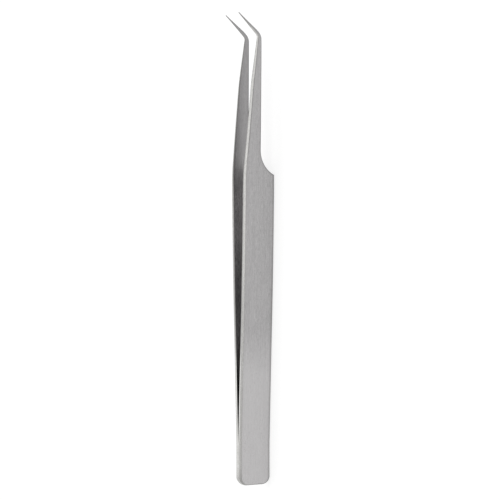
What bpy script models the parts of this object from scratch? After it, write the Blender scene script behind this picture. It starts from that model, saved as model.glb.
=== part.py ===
"""Fine-pointed steel tweezers with both tips bent upward, lying on the straight edges of their arms.

+X runs from the welded rear end to the tips, +Z is up, and Y is the direction in which the arms open.
Each arm is one strip of steel. It is modelled as a heel and a blade, which meet where the spring flexes.
"""

import math

import bmesh
import bpy
import numpy as np
from mathutils import Vector

MM = 0.001

# Outline of an arm's broad face, seen square on: X from the rear end, Z from the straight lower edge.
OVERALL_LENGTH = 140.0 * MM
BODY_WIDTH = 10.2 * MM
REAR_CORNER_RADIUS = 2.5 * MM
SHOULDER_START = 92.25 * MM
SHOULDER_CORNER_RADIUS = 0.4 * MM
SHOULDER_SWEEP_RADIUS = 7.8 * MM
SHOULDER_ANGLE = 64.0
FRONT_EDGE_FALL = 0.3
UPPER_TAPER_START = 90.5 * MM
UPPER_TAPER_RADIUS = 60.0 * MM
UPPER_TAPER_ANGLE = 5.2
SECOND_TAPER_START = 118.0 * MM
SECOND_TAPER_RADIUS = 60.0 * MM
SECOND_TAPER_ANGLE = 8.4

# The bent tip: its hollow side is straight, and its back sweeps round to meet it at the point.
BEND_START = 132.4 * MM
BACK_BEND_RADIUS = 3.0 * MM
BACK_BEND_ANGLE = 40.0
BACK_SWEEP_RADIUS = 9.0 * MM
BACK_POINT_ANGLE = 52.5
BACK_POINT_RUN = 7.065 * MM
HOLLOW_CORNER = 132.85 * MM
HOLLOW_BEND_RADIUS = 1.3 * MM
HOLLOW_ANGLE = 44.0
POINT_WIDTH = 0.14 * MM

# How far apart the arms stand, and how thick the steel is: (distance from the rear end, size).
WELDED_LENGTH = 12.3 * MM
HEEL_SEAM = 0.03 * MM
JAW_START = 133.0 * MM
JAW_CLEARANCE_WHEN_SHUT = 0.02 * MM
HALF_GAPS = [
    (12.3 * MM, 0.03 * MM),
    (24.5 * MM, 0.53 * MM),
    (41.0 * MM, 1.24 * MM),
    (57.0 * MM, 1.93 * MM),
    (74.0 * MM, 2.46 * MM),
    (88.0 * MM, 2.80 * MM),
    (94.0 * MM, 3.04 * MM),
    (100.0 * MM, 3.29 * MM),
    (108.0 * MM, 3.40 * MM),
    (118.0 * MM, 3.46 * MM),
    (127.0 * MM, 3.47 * MM),
]
THICKNESSES = [
    (0.0, 1.50 * MM),
    (12.3 * MM, 1.50 * MM),
    (36.0 * MM, 1.46 * MM),
    (86.0 * MM, 1.42 * MM),
    (94.0 * MM, 1.22 * MM),
    (100.0 * MM, 1.10 * MM),
    (110.0 * MM, 1.10 * MM),
    (122.0 * MM, 1.10 * MM),
    (130.0 * MM, 0.88 * MM),
    (136.5 * MM, 0.48 * MM),
    (140.0 * MM, 0.28 * MM),
]
EDGE_LAND_SHARE = 0.42
OUTER_BEVELS = [
    (0.0, 0.28 * MM),
    (86.0 * MM, 0.28 * MM),
    (104.0 * MM, 0.42 * MM),
    (140.0 * MM, 0.42 * MM),
]
INNER_EDGE_BREAK = 0.08 * MM
NARROW_BEVEL_SHARE = 0.14
NARROW_BREAK_SHARE = 0.08

# The spring: each blade turns about an upright line where a squeezed arm's bend acts.
FLEX_DISTANCE = 36.0 * MM
FLEX_HEIGHT = 5.1 * MM
FLEX_GAP = 0.2 * MM
CLOSING_ANGLE = 2.05

# The two spot welds between the heels, sunk in pockets of the inner faces.
WELD_RADIUS = 1.8 * MM
WELD_DEPTH = 0.7 * MM
WELD_CLEARANCE = 0.03 * MM
WELD_SIDES = 32
REAR_WELD_X = 4.2 * MM
FRONT_WELD_X = 9.3 * MM

# How finely each stretch of the outline is stepped.
REAR_CORNER_STEPS = 5
WELDED_STEPS = 2
HEEL_STEPS = 6
BODY_STEPS = 12
TAPER_STEPS = 2
SHOULDER_CORNER_STEPS = 4
SHOULDER_SWEEP_STEPS = 10
FRONT_STEPS = 12
BEND_STEPS = 5
TIP_STEPS = 8
FINE_STEPS = 12

# The end of a strip is closed by four-sided faces between these corners of its section.
END_FACES = ((0, 7, 2, 1), (7, 6, 3, 2), (6, 5, 4, 3))

STEEL_COLOUR = (0.56, 0.555, 0.54, 1.0)
WELD_COLOUR = (0.40, 0.39, 0.38, 1.0)
STEEL_ROUGHNESS = 0.38
WELD_ROUGHNESS = 0.55


def bend(radius, degrees, steps):
    """One move of an edge: an arc that turns by this many degrees, positive towards +Z."""
    return radius * abs(math.radians(degrees)), degrees, steps


def trace(x, z, heading, moves):
    """An edge as a list of (x, z, heading in radians). Each move is (length, turn in degrees, steps)."""
    heading = math.radians(heading)
    edge = [(x, z, heading)]
    for length, turn, steps in moves:
        step = length / steps
        turn_step = math.radians(turn) / steps
        chord = step if turn == 0 else step * math.sin(turn_step / 2) / (turn_step / 2)
        for _ in range(steps):
            x += chord * math.cos(heading + turn_step / 2)
            z += chord * math.sin(heading + turn_step / 2)
            heading += turn_step
            edge.append((x, z, heading))
    return edge


def smooth(sizes, x):
    """The size at x on a smooth curve through a list of (distance, size), which never overshoots them."""
    distances, values = np.array(sizes).T
    rises = np.diff(values) / np.diff(distances)
    before, after = rises[:-1], rises[1:]
    same_way = before * after > 0
    total = np.where(same_way, before + after, 1.0)
    between = np.where(same_way, 2 * before * after / total, 0.0)
    slopes = np.concatenate([rises[:1], between, rises[-1:]])
    x = min(max(x, distances[0]), distances[-1])
    i = min(max(int(np.searchsorted(distances, x)) - 1, 0), len(distances) - 2)
    span = distances[i + 1] - distances[i]
    t = (x - distances[i]) / span
    return float(
        (2 * t**3 - 3 * t**2 + 1) * values[i]
        + (t**3 - 2 * t**2 + t) * span * slopes[i]
        + (3 * t**2 - 2 * t**3) * values[i + 1]
        + (t**3 - t**2) * span * slopes[i + 1]
    )


def hinge_offset():
    """How far the flex line of an arm lies from the middle plane: half way through the steel."""
    return smooth(HALF_GAPS, FLEX_DISTANCE) + smooth(THICKNESSES, FLEX_DISTANCE) / 2


def jaw_half_gap(x):
    """The jaw's inner face is flat, and lies parallel to the middle plane once the arm has closed."""
    closing = math.radians(CLOSING_ANGLE)
    at_flex = hinge_offset() + (JAW_CLEARANCE_WHEN_SHUT - hinge_offset()) / math.cos(closing)
    return at_flex + (x - FLEX_DISTANCE) * math.tan(closing)


def half_gap(x):
    """Distance from the middle plane to an arm's inner face."""
    if x <= WELDED_LENGTH:
        return HEEL_SEAM
    if x >= JAW_START:
        return jaw_half_gap(x)
    return smooth(HALF_GAPS + [(JAW_START, jaw_half_gap(JAW_START))], x)


def lower_edge():
    """The straight edge, the scooped shoulder, the slim front and the back of the bent tip."""
    to_heel_end = FLEX_DISTANCE - FLEX_GAP / 2
    to_blade_start = FLEX_DISTANCE + FLEX_GAP / 2
    edge = trace(
        0.0,
        REAR_CORNER_RADIUS,
        -90.0,
        [
            bend(REAR_CORNER_RADIUS, 90.0, REAR_CORNER_STEPS),
            (WELDED_LENGTH - REAR_CORNER_RADIUS, 0, WELDED_STEPS),
            (to_heel_end - WELDED_LENGTH, 0, HEEL_STEPS),
            (FLEX_GAP, 0, 1),
            (UPPER_TAPER_START - to_blade_start, 0, BODY_STEPS),
            (SHOULDER_START - UPPER_TAPER_START, 0, TAPER_STEPS),
            bend(SHOULDER_CORNER_RADIUS, SHOULDER_ANGLE, SHOULDER_CORNER_STEPS),
            bend(SHOULDER_SWEEP_RADIUS, -SHOULDER_ANGLE - FRONT_EDGE_FALL, SHOULDER_SWEEP_STEPS),
        ],
    )
    x, z, _ = edge[-1]
    front = trace(x, z, -FRONT_EDGE_FALL, [(BEND_START - x, 0, FRONT_STEPS)])
    x, z, _ = front[-1]
    tip = trace(
        x,
        z,
        -FRONT_EDGE_FALL,
        [
            bend(BACK_BEND_RADIUS, BACK_BEND_ANGLE + FRONT_EDGE_FALL, BEND_STEPS),
            bend(BACK_SWEEP_RADIUS, BACK_POINT_ANGLE - BACK_BEND_ANGLE, TIP_STEPS // 2),
            (BACK_POINT_RUN, 0, TIP_STEPS // 2),
        ],
    )
    return edge[:-1] + front[:-1], tip


def upper_edge(body, point):
    """The edge above the given body stations, then the hollow side of the tip down to the point."""
    rear_bend = bend(REAR_CORNER_RADIUS, -90.0, REAR_CORNER_STEPS)
    rear = trace(0.0, BODY_WIDTH - REAR_CORNER_RADIUS, 90.0, [rear_bend])
    x, z, _ = rear[-1]
    first_taper = bend(UPPER_TAPER_RADIUS, -UPPER_TAPER_ANGLE, FINE_STEPS)
    outline = trace(x, z, 0.0, [(UPPER_TAPER_START - x, 0, 1), first_taper])
    x, z, _ = outline[-1]
    run = (SECOND_TAPER_START - x) / math.cos(math.radians(UPPER_TAPER_ANGLE))
    second_taper = bend(SECOND_TAPER_RADIUS, UPPER_TAPER_ANGLE - SECOND_TAPER_ANGLE, FINE_STEPS)
    outline = outline[:-1] + trace(x, z, -UPPER_TAPER_ANGLE, [(run, 0, 1), second_taper])
    x, z, heading = outline[-1]
    fall = (HOLLOW_CORNER - x) * math.tan(math.radians(SECOND_TAPER_ANGLE))
    outline.append((HOLLOW_CORNER, z - fall, heading))

    xs, zs, headings = np.array(outline).T
    above = [
        (at, float(np.interp(at, xs, zs)), float(np.interp(at, xs, headings)))
        for at, _, _ in body[REAR_CORNER_STEPS:]
    ]
    corner = bend(HOLLOW_BEND_RADIUS, HOLLOW_ANGLE + SECOND_TAPER_ANGLE, BEND_STEPS)
    hollow = trace(outline[-1][0], outline[-1][1], -SECOND_TAPER_ANGLE, [corner])
    x, z, _ = hollow[-1]
    run = math.hypot(point[0] - x, point[1] - z)
    heading = math.degrees(math.atan2(point[1] - z, point[0] - x))
    return rear[:-1] + above + hollow[:-1] + trace(x, z, heading, [(run, 0, TIP_STEPS)])


def section(lower, upper):
    """Eight corners of the strip at one place, from the inner face round over the bevelled outer face."""
    width = math.hypot(upper[0] - lower[0], upper[1] - lower[1])
    middle = (lower[0] + upper[0]) / 2
    thick = smooth(THICKNESSES, middle)
    bevel = min(smooth(OUTER_BEVELS, middle), NARROW_BEVEL_SHARE * width)
    edge_break = min(INNER_EDGE_BREAK, NARROW_BREAK_SHARE * width)
    land = EDGE_LAND_SHARE * thick

    def corner(edge, side, inset, depth):
        x = edge[0] - side * inset * math.sin(edge[2])
        z = edge[1] + side * inset * math.cos(edge[2])
        return Vector((x, half_gap(x) + depth, z))

    return [
        corner(lower, 1, edge_break, 0.0),
        corner(upper, -1, edge_break, 0.0),
        corner(upper, -1, 0.0, edge_break),
        corner(upper, -1, 0.0, land),
        corner(upper, -1, bevel, thick),
        corner(lower, 1, bevel, thick),
        corner(lower, 1, 0.0, land),
        corner(lower, 1, 0.0, edge_break),
    ]


def arm_sections():
    """Every section of one arm, from the rear end to the point."""
    body, tip = lower_edge()
    x, z, heading = tip[-1]
    point = (x - POINT_WIDTH * math.sin(heading), z + POINT_WIDTH * math.cos(heading))
    upper = upper_edge(body, point)
    return [section(below, above) for below, above in zip(body + tip, upper)]


def steel(name, colour, roughness):
    material = bpy.data.materials.new(name)
    material.use_nodes = True
    shader = material.node_tree.nodes["Principled BSDF"]
    shader.inputs["Base Color"].default_value = colour
    shader.inputs["Metallic"].default_value = 1.0
    shader.inputs["Roughness"].default_value = roughness
    return material


def add_object(name, bm, origin, material, collection):
    """Turns a bmesh, given from the rear end of the tweezers, into an object of the centred part."""
    bmesh.ops.recalc_face_normals(bm, faces=bm.faces)
    mesh = bpy.data.meshes.new(name)
    bm.to_mesh(mesh)
    bm.free()
    mesh.materials.append(material)
    obj = bpy.data.objects.new(name, mesh)
    obj.location = origin
    collection.objects.link(obj)
    return obj


def add_strip(name, sections, side, origin, collection):
    """A closed loft through the sections. Side is +1 for the left arm and -1 for the right arm."""
    bm = bmesh.new()
    shift = Vector((-OVERALL_LENGTH / 2, 0.0, 0.0)) - origin
    rings = []
    for corners in sections:
        rings.append([bm.verts.new(Vector((p.x, side * p.y, p.z)) + shift) for p in corners])
    for ring, following in zip(rings, rings[1:]):
        for i in range(len(ring)):
            j = (i + 1) % len(ring)
            bm.faces.new((ring[i], ring[j], following[j], following[i]))
    for ring in (rings[0], rings[-1]):
        for corners in END_FACES:
            bm.faces.new([ring[i] for i in corners])
    material = steel(name + "_steel", STEEL_COLOUR, STEEL_ROUGHNESS)
    return add_object(name, bm, origin, material, collection)


def add_disc(name, x, radius, half_height, collection):
    """A disc across the seam between the heels, with its axis along Y, centred on the middle plane."""
    bm = bmesh.new()
    bmesh.ops.create_cone(
        bm,
        cap_ends=True,
        segments=WELD_SIDES,
        radius1=radius,
        radius2=radius,
        depth=2 * half_height,
    )
    along_y = Vector((0, 1, 0)).to_track_quat("Z", "Y").to_matrix()
    bmesh.ops.rotate(bm, verts=bm.verts, matrix=along_y)
    origin = Vector((x - OVERALL_LENGTH / 2, 0.0, BODY_WIDTH / 2))
    material = steel(name + "_steel", WELD_COLOUR, WELD_ROUGHNESS)
    obj = add_object(name, bm, origin, material, collection)
    for polygon in obj.data.polygons:
        polygon.use_smooth = len(polygon.vertices) == 4
    return obj


def cut_pocket(target, cutter):
    modifier = target.modifiers.new("pocket_for_" + cutter.name, "BOOLEAN")
    modifier.operation = "DIFFERENCE"
    modifier.solver = "EXACT"
    modifier.object = cutter


def main():
    for obj in list(bpy.data.objects):
        bpy.data.objects.remove(obj, do_unlink=True)
    tweezers = bpy.data.collections.new("bent_tip_tweezers")
    cutters = bpy.data.collections.new("bent_tip_tweezers_cutters")
    for collection in (tweezers, cutters):
        bpy.context.scene.collection.children.link(collection)
    cutters.hide_render = True

    sections = arm_sections()
    first_blade = next(i for i, corners in enumerate(sections) if corners[0].x > FLEX_DISTANCE)
    flex_x = FLEX_DISTANCE - OVERALL_LENGTH / 2
    pockets = []
    for weld, x in (("rear_spot_weld", REAR_WELD_X), ("front_spot_weld", FRONT_WELD_X)):
        add_disc(weld, x, WELD_RADIUS, WELD_DEPTH, tweezers)
        pocket_radius = WELD_RADIUS + WELD_CLEARANCE
        pocket = add_disc(weld + "_pocket", x, pocket_radius, WELD_DEPTH + WELD_CLEARANCE, cutters)
        pocket.hide_render = True
        pocket.display_type = "WIRE"
        pockets.append(pocket)
    for name, side in (("left", 1), ("right", -1)):
        heel = add_strip(name + "_heel", sections[:first_blade], side, Vector((0, 0, 0)), tweezers)
        for pocket in pockets:
            cut_pocket(heel, pocket)
        hinge = Vector((flex_x, side * hinge_offset(), FLEX_HEIGHT))
        add_strip(name + "_blade", sections[first_blade:], side, hinge, tweezers)


main()
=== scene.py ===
"""The looks of the bent-tip tweezers: two brushed steel arms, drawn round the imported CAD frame."""

import math

import bmesh
import bpy
import numpy as np
from mathutils import Matrix, Vector, noise


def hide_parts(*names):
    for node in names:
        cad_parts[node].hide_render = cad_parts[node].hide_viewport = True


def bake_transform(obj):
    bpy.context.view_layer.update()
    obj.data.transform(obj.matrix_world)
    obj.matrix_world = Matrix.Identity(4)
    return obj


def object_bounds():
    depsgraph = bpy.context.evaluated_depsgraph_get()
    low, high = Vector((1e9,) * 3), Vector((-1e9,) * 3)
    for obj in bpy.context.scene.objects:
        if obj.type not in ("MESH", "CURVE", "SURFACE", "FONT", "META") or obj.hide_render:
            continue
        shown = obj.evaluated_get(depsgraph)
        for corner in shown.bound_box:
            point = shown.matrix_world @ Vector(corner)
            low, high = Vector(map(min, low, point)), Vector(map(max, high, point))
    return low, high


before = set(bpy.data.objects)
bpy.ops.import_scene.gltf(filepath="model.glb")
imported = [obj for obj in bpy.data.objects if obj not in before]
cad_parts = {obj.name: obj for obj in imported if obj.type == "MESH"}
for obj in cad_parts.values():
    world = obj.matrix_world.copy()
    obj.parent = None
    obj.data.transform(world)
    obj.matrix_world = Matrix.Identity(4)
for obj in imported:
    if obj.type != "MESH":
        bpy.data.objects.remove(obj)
cad_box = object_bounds()

MM = 0.001

# The outline of an arm, as the CAD has it: X from the rear end, Z from the straight lower edge.
OVERALL_LENGTH = 140.0 * MM
BODY_WIDTH = 10.2 * MM
REAR_CORNER_RADIUS = 2.5 * MM
SHOULDER_START = 92.25 * MM
SHOULDER_CORNER_RADIUS = 0.4 * MM
SHOULDER_SWEEP_RADIUS = 7.8 * MM
SHOULDER_ANGLE = 64.0
FRONT_EDGE_FALL = 0.3
UPPER_TAPER_START = 90.5 * MM
UPPER_TAPER_RADIUS = 60.0 * MM
UPPER_TAPER_ANGLE = 5.2
SECOND_TAPER_START = 118.0 * MM
SECOND_TAPER_RADIUS = 60.0 * MM
SECOND_TAPER_ANGLE = 8.4
BEND_START = 132.4 * MM
BACK_BEND_RADIUS = 3.0 * MM
BACK_BEND_ANGLE = 40.0
BACK_SWEEP_RADIUS = 9.0 * MM
BACK_POINT_ANGLE = 52.5
BACK_POINT_RUN = 7.065 * MM
HOLLOW_CORNER = 132.85 * MM
HOLLOW_BEND_RADIUS = 1.3 * MM
HOLLOW_ANGLE = 44.0
POINT_WIDTH = 0.14 * MM

# The gap between the arms and the section of an arm. Each list is of (X from the rear end, size).
WELDED_LENGTH = 12.3 * MM
HEEL_SEAM = 0.03 * MM
JAW_START = 133.0 * MM
JAW_CLEARANCE_WHEN_SHUT = 0.02 * MM
HALF_GAPS = [
    (12.3 * MM, 0.03 * MM),
    (24.5 * MM, 0.53 * MM),
    (41.0 * MM, 1.24 * MM),
    (57.0 * MM, 1.93 * MM),
    (74.0 * MM, 2.46 * MM),
    (88.0 * MM, 2.80 * MM),
    (94.0 * MM, 3.04 * MM),
    (100.0 * MM, 3.29 * MM),
    (108.0 * MM, 3.40 * MM),
    (118.0 * MM, 3.46 * MM),
    (127.0 * MM, 3.47 * MM),
]
THICKNESSES = [
    (0.0, 1.50 * MM),
    (12.3 * MM, 1.50 * MM),
    (36.0 * MM, 1.46 * MM),
    (86.0 * MM, 1.42 * MM),
    (94.0 * MM, 1.22 * MM),
    (100.0 * MM, 1.10 * MM),
    (110.0 * MM, 1.10 * MM),
    (122.0 * MM, 1.10 * MM),
    (130.0 * MM, 0.88 * MM),
    (136.5 * MM, 0.48 * MM),
    (140.0 * MM, 0.28 * MM),
]
OUTER_BEVELS = [
    (0.0, 0.28 * MM),
    (86.0 * MM, 0.28 * MM),
    (104.0 * MM, 0.42 * MM),
    (140.0 * MM, 0.42 * MM),
]
EDGE_LAND_SHARE = 0.42
NARROW_BEVEL_SHARE = 0.14
FLEX_DISTANCE = 36.0 * MM
CLOSING_ANGLE = 2.05

# How the CAD's sharp corners are eased. Sections slimmer than these two sizes are eased less.
INNER_EDGE_ROUND = 0.15 * MM
LAND_ROUND = 0.24 * MM
OUTER_EDGE_ROUND = 0.10 * MM
FULLY_EASED_THICKNESS = 1.0 * MM
FULLY_EASED_WIDTH = 1.6 * MM

# How uneven the broad faces are. The shift gives each arm waves of its own.
FACE_CROWN = 0.012 * MM
GRIND_WAVE = 0.004 * MM
GRIND_WAVE_LENGTH = 9.0 * MM
GRIND_SHIFT = 7.0

# How finely the skin is meshed. A side path has three eased corners with a point between each two.
STATION_SPACING = 0.7 * MM
REAR_CORNER_STEPS = 10
SHOULDER_CORNER_STEPS = 6
SHOULDER_SWEEP_STEPS = 24
TAPER_STEPS = 24
BEND_STEPS = 12
BACK_SWEEP_STEPS = 8
TIP_STEPS = 24
ACROSS = 14
ROUND_STEPS = 4
CORNER_POINTS = ROUND_STEPS + 1
PATH_POINTS = 3 * CORNER_POINTS + 2

# The painted shade lines along the corners, drawn where the eased corners would reflect the shadowed
# floor and dark surroundings. Each list gives how dark a corner's points are, from the broad face towards
# the middle of the edge. The line of the upper outer corner is weaker on the body, and fades past the bend.
# The glint is a painted highlight beside the gap near the rear, with painted shade in the gap itself. Its
# list runs from the inner face out, and where it is below 0 the steel is brighter than plain.
LOWER_INNER_CORNER = np.array([1.3, 1.45, 1.35, 1.1, 0.6])
LOWER_OUTER_CORNER = np.array([0.7, 1.3, 1.35, 1.1, 0.6])
UPPER_CORNER = np.array([0.35, 0.8, 1.0, 0.8, 0.35])
BODY_LINE_SHARE = 0.35
BODY_LINE_RAMP = 8.0 * MM
TIP_LINE_FADE = 0.4
TIP_LINE_RAMP = 5.0 * MM
REAR_SHADE_AND_GLINT = np.array([1.4, 1.4, 1.2, -0.4, -1.8, -1.8, -1.6, -0.8, -0.1])
GLINT_FADE_START = 34.0 * MM
GLINT_FADE_END = 43.0 * MM

# The skin's map is in millimetres. These shifts keep the edges and the outer faces apart on it.
MAP_NAME = "length_mm"
EDGE_MAP_SHIFT = 12 * MM
OUTER_MAP_SHIFT = 20 * MM
# The skin's attribute of painted light on the corners: painted shade lines above 0, a painted glint below 0.
PAINTED_EDGE_LIGHT_NAME = "painted_edge_shade_and_glint"

# The finishes, in the order of an arm's material slots. Each list along the arm is of
# (distance from the rear end in mm, share of the colour, share of the grain). The colour shares carry
# painted shade and painted highlights along the arm.
INNER_SLOT, OUTER_SLOT, EDGE_SLOT = range(3)
FINISHES = {
    "inner_face_steel": {
        "colour": (0.517, 0.507, 0.510),
        # The inner faces' colour share is painted shade between the arms: nearly black at the welded rear,
        # where the gap is narrowest, and stepped lighter and darker along the rest of the arm.
        "along": [
            (22, 0.06, 1.0),
            (44, 0.77, 1.0),
            (60, 0.77, 1.0),
            (70, 0.85, 1.0),
            (78, 0.82, 1.0),
            (86, 0.94, 1.0),
            (93, 0.71, 0.6),
            (100, 0.62, 0.36),
            (116, 0.64, 0.36),
            (140, 0.60, 0.36),
        ],
        "roughness": 0.34,
        "grain": 2.5,
        "edge_shade": 0.55,
        "seed": 3,
    },
    "outer_face_steel": {
        "colour": (0.478, 0.469, 0.471),
        # The outer faces' colour share is painted light: brighter over the rear 33 mm, a painted reflection
        # there, and lower towards the tip.
        "along": [
            (0, 1.0, 0.55),
            (33, 1.0, 0.55),
            (46, 0.815, 1.0),
            (132, 0.80, 1.0),
            (136, 0.70, 1.0),
        ],
        "roughness": 0.32,
        "grain": 1.0,
        "edge_shade": 0.5,
        "seed": 11,
    },
    "ground_edge_steel": {
        "colour": (0.600, 0.593, 0.578),
        # The edges' colour share paints a highlight from 6 to 34 mm along with the glint, and is dimmer on
        # the rear end to soften the glint there. It is also lighter at the bend and falls past it.
        "along": [
            (0, 0.53, 0.8),
            (6, 0.775, 0.8),
            (34, 0.775, 0.8),
            (60, 0.725, 1.0),
            (132.5, 0.735, 1.0),
            (134, 0.94, 1.0),
            (135.5, 0.83, 1.0),
            (137.5, 0.54, 1.0),
            (140, 0.50, 1.0),
        ],
        "roughness": 0.26,
        "grain": 1.0,
        "edge_shade": 0.65,
        "seed": 23,
        "specks": 0.16,
    },
}

# The layers of brushing. Each is (marks per mm along the arm, marks per mm across it, strength).
STREAKS = {
    "broad": (0.05, 1.3, 0.22),
    "middling": (0.28, 3.6, 0.42),
    "fine": (0.8, 9.0, 0.80),
    "cloud": (0.08, 0.2, 0.12),
    "speck": (2.6, 4.5, 0.50),
}
STREAK_DETAIL = 2.0
STREAK_ROUGHNESS = 0.6
SEED_STEP = (3.7, 11.3, 1.0)
NOISE_RANGE = (0.3, 0.7)
SPECK_RANGE = (0.60, 0.72)
# How much the painted shade lines and glint of the corners vary with the brushing noise.
SHADE_MOTTLE_RANGE = (0.75, 1.0)
FINE_ROUGHNESS = (-0.05, 0.05)
CLOUD_ROUGHNESS = (-0.02, 0.03)
LINE_ROUGHNESS = 0.08
GROOVE_DEPTH = 0.001 * MM
ANISOTROPY = 0.35
ANISOTROPY_TURN = 0.25

WELD_DARK = (0.30, 0.29, 0.28, 1.0)
WELD_LIGHT = (0.44, 0.43, 0.42, 1.0)
WELD_ROUGHNESS = (0.45, 0.62)
WELD_GRAINS_PER_METRE = 1800.0
WELD_BUMP = 0.01 * MM

# The studio. The camera looks down by VIEW_ELEVATION, and its lens and sensor are in millimetres.
VIEW_ELEVATION = 30.0
FRAMED_LENGTH = 149.0 * MM
LENS = 120.0
SENSOR = 36.0
NEAREST_SEEN, FARTHEST_SEEN = 0.01, 20.0
SKY_LEVEL = 0.92
FLOOR_HALF_SIZE = 3.0
FLOOR_DROP = 0.05 * MM
FLOOR_TONE = 0.35
FLOOR_GLOW = 0.69
FLOOR_ROUGHNESS = 0.9
# Each lamp is (place, size, level, whether it is turned towards the tweezers). If not, it shines down.
LAMPS = {
    "overhead_softbox": ((0.09, 0.05, 0.34), (0.24, 0.46), 0.60, False),
    "rear_softbox": ((-0.45, -0.06, 0.26), (0.40, 0.30), 0.45, True),
}


def bend(radius, degrees, steps):
    """One move of an edge: an arc that turns by this many degrees, positive towards +Z."""
    return radius * abs(math.radians(degrees)), degrees, steps


def straight(length, steps=None):
    """One move of an edge: a straight run, stepped at the station spacing unless its steps are given."""
    return length, 0, steps or max(2, round(length / STATION_SPACING))


def trace(x, z, heading, moves):
    """An edge as a list of (x, z, heading in radians), drawn by moves of (length, turn in degrees, steps)."""
    heading = math.radians(heading)
    edge = [(x, z, heading)]
    for length, turn, steps in moves:
        step = length / steps
        turn_step = math.radians(turn) / steps
        chord = step if turn == 0 else step * math.sin(turn_step / 2) / (turn_step / 2)
        for _ in range(steps):
            x += chord * math.cos(heading + turn_step / 2)
            z += chord * math.sin(heading + turn_step / 2)
            heading += turn_step
            edge.append((x, z, heading))
    return edge


def smooth(sizes, x):
    """The size at x on a smooth curve through a list of (distance, size), which never overshoots them."""
    distances, values = np.array(sizes).T
    rises = np.diff(values) / np.diff(distances)
    before, after = rises[:-1], rises[1:]
    same_way = before * after > 0
    between = np.where(same_way, 2 * before * after / np.where(same_way, before + after, 1.0), 0.0)
    slopes = np.concatenate([rises[:1], between, rises[-1:]])
    x = min(max(x, distances[0]), distances[-1])
    i = min(max(int(np.searchsorted(distances, x)) - 1, 0), len(distances) - 2)
    span = distances[i + 1] - distances[i]
    t = (x - distances[i]) / span
    return float(
        (2 * t**3 - 3 * t**2 + 1) * values[i]
        + (t**3 - 2 * t**2 + t) * span * slopes[i]
        + (3 * t**2 - 2 * t**3) * values[i + 1]
        + (t**3 - t**2) * span * slopes[i + 1]
    )


def ease(x, start, end):
    """0 before start, 1 after end and smooth between them."""
    t = min(max((x - start) / (end - start), 0.0), 1.0)
    return t * t * (3 - 2 * t)


def hinge_offset():
    """Distance from the middle plane to the middle of an arm's thickness at its hinge."""
    return smooth(HALF_GAPS, FLEX_DISTANCE) + smooth(THICKNESSES, FLEX_DISTANCE) / 2


def jaw_half_gap(x):
    """The jaw's inner face is flat, and lies parallel to the middle plane once the arm has closed."""
    closing = math.radians(CLOSING_ANGLE)
    at_flex = hinge_offset() + (JAW_CLEARANCE_WHEN_SHUT - hinge_offset()) / math.cos(closing)
    return at_flex + (x - FLEX_DISTANCE) * math.tan(closing)


HALF_GAPS_TO_JAW = HALF_GAPS + [(JAW_START, jaw_half_gap(JAW_START))]


def half_gap(x):
    """Distance from the middle plane to an arm's inner face."""
    if x <= WELDED_LENGTH:
        return HEEL_SEAM
    if x >= JAW_START:
        return jaw_half_gap(x)
    return smooth(HALF_GAPS_TO_JAW, x)


def lower_edge():
    """The body up to the bend (straight edge, scooped shoulder, slim front), and the back of the bent tip."""
    body = trace(
        0.0,
        REAR_CORNER_RADIUS,
        -90.0,
        [
            bend(REAR_CORNER_RADIUS, 90.0, REAR_CORNER_STEPS),
            straight(SHOULDER_START - REAR_CORNER_RADIUS),
            bend(SHOULDER_CORNER_RADIUS, SHOULDER_ANGLE, SHOULDER_CORNER_STEPS),
            bend(SHOULDER_SWEEP_RADIUS, -SHOULDER_ANGLE - FRONT_EDGE_FALL, SHOULDER_SWEEP_STEPS),
        ],
    )
    x, z, _ = body[-1]
    front = trace(x, z, -FRONT_EDGE_FALL, [straight(BEND_START - x)])
    x, z, _ = front[-1]
    tip = trace(
        x,
        z,
        -FRONT_EDGE_FALL,
        [
            bend(BACK_BEND_RADIUS, BACK_BEND_ANGLE + FRONT_EDGE_FALL, BEND_STEPS),
            bend(BACK_SWEEP_RADIUS, BACK_POINT_ANGLE - BACK_BEND_ANGLE, BACK_SWEEP_STEPS),
            straight(BACK_POINT_RUN, TIP_STEPS - BACK_SWEEP_STEPS),
        ],
    )
    return body[:-1] + front[:-1], tip


def upper_edge(body, point):
    """The edge above the given body stations, and then the hollow side of the tip, up to the point."""
    rear_bend = bend(REAR_CORNER_RADIUS, -90.0, REAR_CORNER_STEPS)
    rear = trace(0.0, BODY_WIDTH - REAR_CORNER_RADIUS, 90.0, [rear_bend])
    x, z, _ = rear[-1]
    first_taper = bend(UPPER_TAPER_RADIUS, -UPPER_TAPER_ANGLE, TAPER_STEPS)
    outline = trace(x, z, 0.0, [straight(UPPER_TAPER_START - x, 1), first_taper])
    x, z, _ = outline[-1]
    run = (SECOND_TAPER_START - x) / math.cos(math.radians(UPPER_TAPER_ANGLE))
    second_taper = bend(SECOND_TAPER_RADIUS, UPPER_TAPER_ANGLE - SECOND_TAPER_ANGLE, TAPER_STEPS)
    outline = outline[:-1] + trace(x, z, -UPPER_TAPER_ANGLE, [straight(run, 1), second_taper])
    x, z, heading = outline[-1]
    fall = (HOLLOW_CORNER - x) * math.tan(math.radians(SECOND_TAPER_ANGLE))
    outline.append((HOLLOW_CORNER, z - fall, heading))

    xs, zs, headings = np.array(outline).T
    above = [
        (at, float(np.interp(at, xs, zs)), float(np.interp(at, xs, headings)))
        for at, _, _ in body[REAR_CORNER_STEPS:]
    ]
    corner = bend(HOLLOW_BEND_RADIUS, HOLLOW_ANGLE + SECOND_TAPER_ANGLE, BEND_STEPS)
    hollow = trace(outline[-1][0], outline[-1][1], -SECOND_TAPER_ANGLE, [corner])
    x, z, _ = hollow[-1]
    run = math.hypot(point[0] - x, point[1] - z)
    heading = math.degrees(math.atan2(point[1] - z, point[0] - x))
    return rear[:-1] + above + hollow[:-1] + trace(x, z, heading, [straight(run, TIP_STEPS)])


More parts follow.
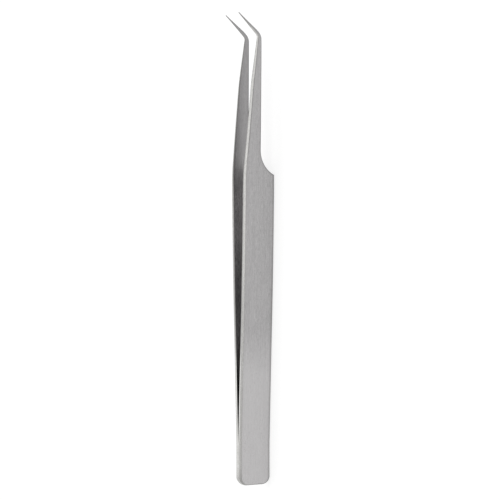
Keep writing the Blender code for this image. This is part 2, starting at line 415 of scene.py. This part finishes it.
def both_edges():
    """The lower and the upper edge of an arm, with as many stations each."""
    body, tip = lower_edge()
    x, z, heading = tip[-1]
    point = (x - POINT_WIDTH * math.sin(heading), z + POINT_WIDTH * math.cos(heading))
    return body + tip, upper_edge(body, point)


def eased(corners, radii):
    """A path of 2-D corners with each inner corner rounded, and a point half way along each straight."""
    path = []
    for i, radius in enumerate(radii, start=1):
        before, corner, after = (np.array(c) for c in corners[i - 1 : i + 2])
        start = corner + radius * (before - corner) / np.linalg.norm(before - corner)
        end = corner + radius * (after - corner) / np.linalg.norm(after - corner)
        if path:
            path.append((path[-1] + start) / 2)
        for k in range(CORNER_POINTS):
            t = k / ROUND_STEPS
            path.append((1 - t) ** 2 * start + 2 * t * (1 - t) * corner + t**2 * end)
    return path


def side_paths(lower, upper):
    """The lower and the upper side of one section of the left arm, as points from the inner face out."""
    width = math.hypot(upper[0] - lower[0], upper[1] - lower[1])
    middle = (lower[0] + upper[0]) / 2
    thick = smooth(THICKNESSES, middle)
    bevel = min(smooth(OUTER_BEVELS, middle), NARROW_BEVEL_SHARE * width)
    slim = min(1.0, thick / FULLY_EASED_THICKNESS, width / FULLY_EASED_WIDTH)
    corners = [
        (width / 2, 0.0),
        (0.0, 0.0),
        (0.0, EDGE_LAND_SHARE * thick),
        (bevel, thick),
        (width / 2, thick),
    ]
    path = eased(corners, [r * slim for r in (INNER_EDGE_ROUND, LAND_ROUND, OUTER_EDGE_ROUND)])
    sides = []
    for (edge_x, edge_z, heading), side in ((lower, 1), (upper, -1)):
        points = []
        for inset, depth in path:
            x = edge_x - side * inset * math.sin(heading)
            z = edge_z + side * inset * math.cos(heading)
            points.append(Vector((x, half_gap(x) + depth, z)))
        sides.append(points)
    return sides


def side_lines(x):
    """The painted shade of each point of the lower and of the upper side path at x; below 0 it is a painted
    glint.
    """
    plain = np.zeros(PATH_POINTS - CORNER_POINTS)
    glint = np.concatenate([REAR_SHADE_AND_GLINT, np.zeros(PATH_POINTS - len(REAR_SHADE_AND_GLINT))])
    rear = 1 - ease(x, GLINT_FADE_START, GLINT_FADE_END)
    front = ease(x, SHOULDER_START, SHOULDER_START + BODY_LINE_RAMP)
    tip = ease(x, BEND_START, BEND_START + TIP_LINE_RAMP)
    outer_share = (BODY_LINE_SHARE + (1 - BODY_LINE_SHARE) * front) * (1 - TIP_LINE_FADE * tip)
    lines = []
    for inner, outer in (
        (LOWER_INNER_CORNER, LOWER_OUTER_CORNER),
        (UPPER_CORNER, outer_share * UPPER_CORNER),
    ):
        inner_line = (1 - rear) * np.concatenate([inner, plain]) + rear * glint
        lines.append(inner_line + np.concatenate([plain, outer[::-1]]))
    return lines


def map_places(lower, upper):
    """For each station, its distance along the arm and the height of the upper edge, for the map.

    Past the bend the distance follows the middle of the tip, and the height stays as it was.
    """
    places = []
    for below, above in zip(lower, upper):
        middle = Vector((below[0] + above[0], below[1] + above[1])) / 2
        if below[0] <= BEND_START:
            along, top = middle.x, above[1]
        else:
            along += (middle - last).length
        last = middle
        places.append((along, top))
    return places


class Skin:
    """The points and faces of one arm's closed skin, as they are added. Side is 1 for left, -1 for right."""

    def __init__(self, side):
        self.side = side
        self.points = []
        self.places = []
        self.darkness = []
        self.faces = []
        self.slots = []

    def add_point(self, point, along, across, dark):
        """Adds a point of the left arm, mirrored if this is the right one, and returns its index."""
        self.points.append((point.x - OVERALL_LENGTH / 2, self.side * point.y, point.z))
        self.places.append((along, across))
        self.darkness.append(dark)
        return len(self.points) - 1

    def add_face(self, corners, slot):
        self.faces.append(corners)
        self.slots.append(slot)

    def wave_at(self, point):
        """How far a hand-ground face stands out at this point."""
        shift = Vector((self.side * GRIND_SHIFT, 0, 0))
        return GRIND_WAVE * noise.noise(point / GRIND_WAVE_LENGTH + shift)

    def add_ring(self, paths, place, at_end):
        """Adds the points of one section. At an end the painted shade lines of the corners carry on across
        the broad faces.
        """
        low, high = paths
        along, top = place
        width = (high[0] - low[0]).length
        low_line, high_line = side_lines(low[0].x)
        ring = {"inner": [], "outer": [], "high": [], "low": []}
        for k in range(ACROSS + 1):
            share = k / ACROSS
            across = top - (1 - share) * width
            line = np.zeros(PATH_POINTS)
            if at_end or k in (0, ACROSS):
                line = (1 - share) * low_line + share * high_line
            inner = low[0].lerp(high[0], share)
            inner.y -= self.wave_at(inner)
            ring["inner"].append(self.add_point(inner, along, across, line[0]))
            outer = low[-1].lerp(high[-1], share)
            outer.y += self.wave_at(outer) + FACE_CROWN * (1 - (2 * share - 1) ** 2)
            ring["outer"].append(self.add_point(outer, along, OUTER_MAP_SHIFT + across, line[-1]))
        for key, path, line in (("high", high, high_line), ("low", low, low_line)):
            for k in range(1, PATH_POINTS - 1):
                across = EDGE_MAP_SHIFT + path[k].y - path[0].y
                ring[key].append(self.add_point(path[k], along, across, line[k]))
        return ring

    def join(self, rings):
        """Adds the faces between each ring and the next: inner face, upper side, outer face, lower side."""
        loops = [
            ring["inner"] + ring["high"] + ring["outer"][::-1] + ring["low"][::-1] for ring in rings
        ]
        side = [EDGE_SLOT] * (PATH_POINTS - 1)
        slots = [INNER_SLOT] * ACROSS + side + [OUTER_SLOT] * ACROSS + side
        for first, second in zip(loops, loops[1:]):
            for i, slot in enumerate(slots):
                j = (i + 1) % len(slots)
                self.add_face((first[i], first[j], second[j], second[i]), slot)

    def close(self, ring, paths, outward):
        """Closes an end with rows of points from the lower to the upper side. The edges' map carries on."""
        low, high = paths
        low_line, high_line = side_lines(low[0].x)
        rows = [ring["inner"]]
        for k in range(1, PATH_POINTS - 1):
            first = ring["low"][k - 1]
            along, across = self.places[first]
            row = [first]
            for c in range(1, ACROSS):
                share = c / ACROSS
                inward = min(share, 1 - share) * (high[k] - low[k]).length
                dark = (1 - share) * low_line[k] + share * high_line[k]
                point = low[k].lerp(high[k], share)
                row.append(self.add_point(point, along + outward * inward, across, dark))
            rows.append(row + [ring["high"][k - 1]])
        rows.append(ring["outer"])
        for row, following in zip(rows, rows[1:]):
            for c in range(ACROSS):
                self.add_face((row[c], row[c + 1], following[c + 1], following[c]), EDGE_SLOT)

    def as_object(self, name):
        """The skin as a smooth object, with its map in millimetres and its faces turned outward."""
        mesh = bpy.data.meshes.new(name)
        mesh.from_pydata(self.points, [], self.faces)
        mesh.validate()
        mesh.update()
        uv = mesh.uv_layers.new(name=MAP_NAME)
        for entry, corner in zip(uv.data, mesh.loops):
            entry.uv = [length / MM for length in self.places[corner.vertex_index]]
        attribute = mesh.attributes.new(PAINTED_EDGE_LIGHT_NAME, "FLOAT", "POINT")
        attribute.data.foreach_set("value", np.array(self.darkness, np.float32))
        for polygon, slot in zip(mesh.polygons, self.slots):
            polygon.material_index = slot
            polygon.use_smooth = True
        outward = bmesh.new()
        outward.from_mesh(mesh)
        bmesh.ops.recalc_face_normals(outward, faces=outward.faces)
        outward.to_mesh(mesh)
        outward.free()
        obj = bpy.data.objects.new(name, mesh)
        bpy.context.scene.collection.objects.link(obj)
        return obj


def arm_skin(name, side):
    """One whole arm as a single closed skin."""
    lower, upper = both_edges()
    places = map_places(lower, upper)
    skin = Skin(side)
    sections = [side_paths(below, above) for below, above in zip(lower, upper)]
    rings = []
    for i, (paths, place) in enumerate(zip(sections, places)):
        rings.append(skin.add_ring(paths, place, at_end=i in (0, len(sections) - 1)))
    skin.join(rings)
    for index, outward in ((0, -1), (-1, 1)):
        skin.close(rings[index], sections[index], outward)
    return skin.as_object(name)


def grey(tone):
    """A colour with no tint, from 0 for black to 1 for white."""
    return (tone, tone, tone, 1.0)


class Nodes:
    """Short calls for building a material's node tree."""

    def __init__(self, name):
        self.material = bpy.data.materials.new(name)
        self.material.use_nodes = True
        self.tree = self.material.node_tree
        self.shader = self.tree.nodes["Principled BSDF"]

    def add(self, kind, **settings):
        """A new node of this kind, with these properties set."""
        node = self.tree.nodes.new(kind)
        for key, value in settings.items():
            setattr(node, key, value)
        return node

    def link(self, source, target):
        self.tree.links.new(source, target)

    def map_place(self):
        """The place on the skin's map."""
        return self.add("ShaderNodeUVMap", uv_map=MAP_NAME).outputs["UV"]

    def streaks(self, per_mm_along, per_mm_across, seed):
        """Noise drawn out along the arm."""
        mapping = self.add("ShaderNodeMapping")
        mapping.inputs["Scale"].default_value = (per_mm_along, per_mm_across, 1.0)
        mapping.inputs["Location"].default_value = [seed * step for step in SEED_STEP]
        texture = self.add("ShaderNodeTexNoise")
        texture.inputs["Scale"].default_value = 1.0
        texture.inputs["Detail"].default_value = STREAK_DETAIL
        texture.inputs["Roughness"].default_value = STREAK_ROUGHNESS
        self.link(self.map_place(), mapping.inputs["Vector"])
        self.link(mapping.outputs["Vector"], texture.inputs["Vector"])
        return texture.outputs["Fac"]

    def math(self, operation, first, second):
        """One operation on two values, each of them a number or another node's output."""
        node = self.add("ShaderNodeMath", operation=operation)
        for socket, value in zip(node.inputs, (first, second)):
            if isinstance(value, (int, float)):
                socket.default_value = value
            else:
                self.link(value, socket)
        return node.outputs[0]

    def ranged(self, value, source, target):
        """The value, with one range of it laid over another and held at both ends."""
        node = self.add("ShaderNodeMapRange")
        node.inputs["From Min"].default_value, node.inputs["From Max"].default_value = source
        node.inputs["To Min"].default_value, node.inputs["To Max"].default_value = target
        self.link(value, node.inputs["Value"])
        return node.outputs["Result"]


def shares_along(nodes, along):
    """The share of the colour, which carries painted shade and highlights, and the share of the grain, along
    the arm.
    """
    place = nodes.add("ShaderNodeSeparateXYZ")
    nodes.link(nodes.map_place(), place.inputs["Vector"])
    ramp = nodes.add("ShaderNodeValToRGB")
    stops = ramp.color_ramp.elements
    stops_at_first = len(stops)
    for index, (distance, tone_share, grain_share) in enumerate(along):
        position = distance * MM / OVERALL_LENGTH
        stop = stops[index] if index < stops_at_first else stops.new(position)
        stop.position = position
        stop.color = (tone_share, grain_share, 0.0, 1.0)
    nodes.link(nodes.math("DIVIDE", place.outputs["X"], OVERALL_LENGTH / MM), ramp.inputs["Fac"])
    shares = nodes.add("ShaderNodeSeparateColor")
    nodes.link(ramp.outputs["Color"], shares.inputs["Color"])
    return shares.outputs["Red"], shares.outputs["Green"]


def brushed_steel(name, colour, along, roughness, grain, edge_shade, seed, specks=0.0):
    """Steel brushed along its length, with fine specks, painted shade lines on its corners and a painted
    glint.
    """
    nodes = Nodes(name)
    tone_share, grain_share = shares_along(nodes, along)
    layers = {}
    total = 0.0
    for step, (layer, (per_mm_along, per_mm_across, strength)) in enumerate(STREAKS.items()):
        layers[layer] = nodes.streaks(per_mm_along, per_mm_across, seed + step)
        offset = nodes.math("SUBTRACT", layers[layer], 0.5)
        total = nodes.math("ADD", nodes.math("MULTIPLY", offset, strength * grain), total)
    level = nodes.math("ADD", nodes.math("MULTIPLY", total, grain_share), 1.0)
    level = nodes.math("MULTIPLY", level, tone_share)
    if specks:
        spotted = nodes.ranged(layers["speck"], SPECK_RANGE, (1.0, 1.0 - specks))
        level = nodes.math("MULTIPLY", level, spotted)
    edge = nodes.add("ShaderNodeAttribute", attribute_name=PAINTED_EDGE_LIGHT_NAME)
    # The painted shade lines and glint are mottled a little by the brushing noise.
    shade_mottle = nodes.ranged(layers["middling"], NOISE_RANGE, SHADE_MOTTLE_RANGE)
    line = nodes.math("MULTIPLY", edge.outputs["Fac"], shade_mottle)
    unshaded = nodes.math("SUBTRACT", 1.0, nodes.math("MULTIPLY", line, edge_shade))
    level = nodes.math("MULTIPLY", level, unshaded)

    tint = nodes.add("ShaderNodeMix", data_type="RGBA", blend_type="MULTIPLY")
    tint.inputs["Factor"].default_value = 1.0
    tone = nodes.add("ShaderNodeCombineColor")
    for channel in ("Red", "Green", "Blue"):
        nodes.link(level, tone.inputs[channel])
    tint.inputs["A"].default_value = (*colour, 1.0)
    nodes.link(tone.outputs["Color"], tint.inputs["B"])
    nodes.link(tint.outputs["Result"], nodes.shader.inputs["Base Color"])

    fine_part = nodes.ranged(layers["fine"], NOISE_RANGE, FINE_ROUGHNESS)
    cloud_part = nodes.ranged(layers["cloud"], NOISE_RANGE, CLOUD_ROUGHNESS)
    rough = nodes.math("ADD", fine_part, cloud_part)
    rough = nodes.math("ADD", rough, nodes.math("MULTIPLY", line, LINE_ROUGHNESS))
    nodes.link(nodes.math("ADD", rough, roughness), nodes.shader.inputs["Roughness"])

    bump = nodes.add("ShaderNodeBump")
    bump.inputs["Strength"].default_value = 1.0
    bump.inputs["Distance"].default_value = GROOVE_DEPTH
    halves = [nodes.math("MULTIPLY", layers[layer], 0.5) for layer in ("fine", "middling")]
    nodes.link(nodes.math("ADD", *halves), bump.inputs["Height"])
    nodes.link(bump.outputs["Normal"], nodes.shader.inputs["Normal"])

    nodes.shader.inputs["Metallic"].default_value = 1.0
    nodes.shader.inputs["Anisotropic"].default_value = ANISOTROPY
    nodes.shader.inputs["Anisotropic Rotation"].default_value = ANISOTROPY_TURN
    tangent = nodes.add("ShaderNodeTangent", direction_type="UV_MAP", uv_map=MAP_NAME)
    nodes.link(tangent.outputs["Tangent"], nodes.shader.inputs["Tangent"])
    return nodes.material


def make_arms():
    """Both arms, which take the place of their CAD heels and blades."""
    finishes = [brushed_steel(name, **looks) for name, looks in FINISHES.items()]
    for name, side in (("left", 1), ("right", -1)):
        arm = arm_skin(name + "_arm_skin", side)
        for finish in finishes:
            arm.data.materials.append(finish)
        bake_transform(arm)
        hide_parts(name + "_heel", name + "_blade")


def finish_welds():
    """The weld discs are sealed inside the heels. They keep their CAD shape and get a dull steel."""
    dull = Nodes("weld_metal")
    dull.shader.inputs["Metallic"].default_value = 1.0
    grain = dull.add("ShaderNodeTexNoise")
    grain.inputs["Scale"].default_value = WELD_GRAINS_PER_METRE
    place = dull.add("ShaderNodeTexCoord")
    dull.link(place.outputs["Object"], grain.inputs["Vector"])
    ramp = dull.add("ShaderNodeValToRGB")
    for stop, colour in zip(ramp.color_ramp.elements, (WELD_DARK, WELD_LIGHT)):
        stop.color = colour
    dull.link(grain.outputs["Fac"], ramp.inputs["Fac"])
    dull.link(ramp.outputs["Color"], dull.shader.inputs["Base Color"])
    rough = dull.ranged(grain.outputs["Fac"], NOISE_RANGE, WELD_ROUGHNESS)
    dull.link(rough, dull.shader.inputs["Roughness"])
    bump = dull.add("ShaderNodeBump")
    bump.inputs["Distance"].default_value = WELD_BUMP
    dull.link(grain.outputs["Fac"], bump.inputs["Height"])
    dull.link(bump.outputs["Normal"], dull.shader.inputs["Normal"])
    for name in ("rear_spot_weld", "front_spot_weld"):
        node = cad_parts[name]
        node.data.materials.clear()
        node.data.materials.append(dull.material)


def make_floor():
    """A pale matt floor that glows a little, so that shadows stay faint."""
    half = FLOOR_HALF_SIZE
    corners = [(x, y, -FLOOR_DROP) for x, y in ((-half, -half), (half, -half), (half, half), (-half, half))]
    mesh = bpy.data.meshes.new("floor")
    mesh.from_pydata(corners, [], [(0, 1, 2, 3)])
    floor = bpy.data.objects.new("floor", mesh)
    bpy.context.scene.collection.objects.link(floor)
    nodes = Nodes("pale_floor")
    nodes.shader.inputs["Base Color"].default_value = grey(FLOOR_TONE)
    nodes.shader.inputs["Roughness"].default_value = FLOOR_ROUGHNESS
    nodes.shader.inputs["Specular IOR Level"].default_value = 0.0
    nodes.shader.inputs["Emission Color"].default_value = grey(1.0)
    nodes.shader.inputs["Emission Strength"].default_value = FLOOR_GLOW
    mesh.materials.append(nodes.material)


def make_light():
    """An even white sky and the softboxes."""
    world = bpy.data.worlds.new("studio")
    bpy.context.scene.world = world
    world.use_nodes = True
    background = world.node_tree.nodes["Background"]
    background.inputs["Color"].default_value = grey(1.0)
    background.inputs["Strength"].default_value = SKY_LEVEL
    for name, (place, size, level, turned) in LAMPS.items():
        lamp = bpy.data.lights.new(name, "AREA")
        lamp.shape = "RECTANGLE"
        lamp.size, lamp.size_y = size
        lamp.energy = level * math.pi * lamp.size * lamp.size_y
        softbox = bpy.data.objects.new(name, lamp)
        softbox.location = place
        if turned:
            softbox.rotation_euler = Vector(place).to_track_quat("Z", "Y").to_euler()
        bpy.context.scene.collection.objects.link(softbox)


def make_camera():
    """Looks down on the near arm, square to its length, with the tips at the top of the picture."""
    lens = bpy.data.cameras.new("camera")
    lens.lens = LENS
    lens.sensor_width = SENSOR
    lens.clip_start, lens.clip_end = NEAREST_SEEN, FARTHEST_SEEN
    camera = bpy.data.objects.new("camera", lens)
    bpy.context.scene.collection.objects.link(camera)
    elevation = math.radians(VIEW_ELEVATION)
    back = Vector((0.0, -math.cos(elevation), math.sin(elevation)))
    up = Vector((1.0, 0.0, 0.0))
    right = up.cross(back)
    distance = FRAMED_LENGTH * LENS / SENSOR
    turn = Matrix((right, up, back)).transposed()
    centre = (cad_box[0] + cad_box[1]) / 2
    camera.matrix_world = Matrix.Translation(centre + back * distance) @ turn.to_4x4()
    bpy.context.scene.camera = camera


make_floor()
make_light()
make_camera()
make_arms()
finish_welds()
bpy.context.scene.view_settings.view_transform = "Standard"
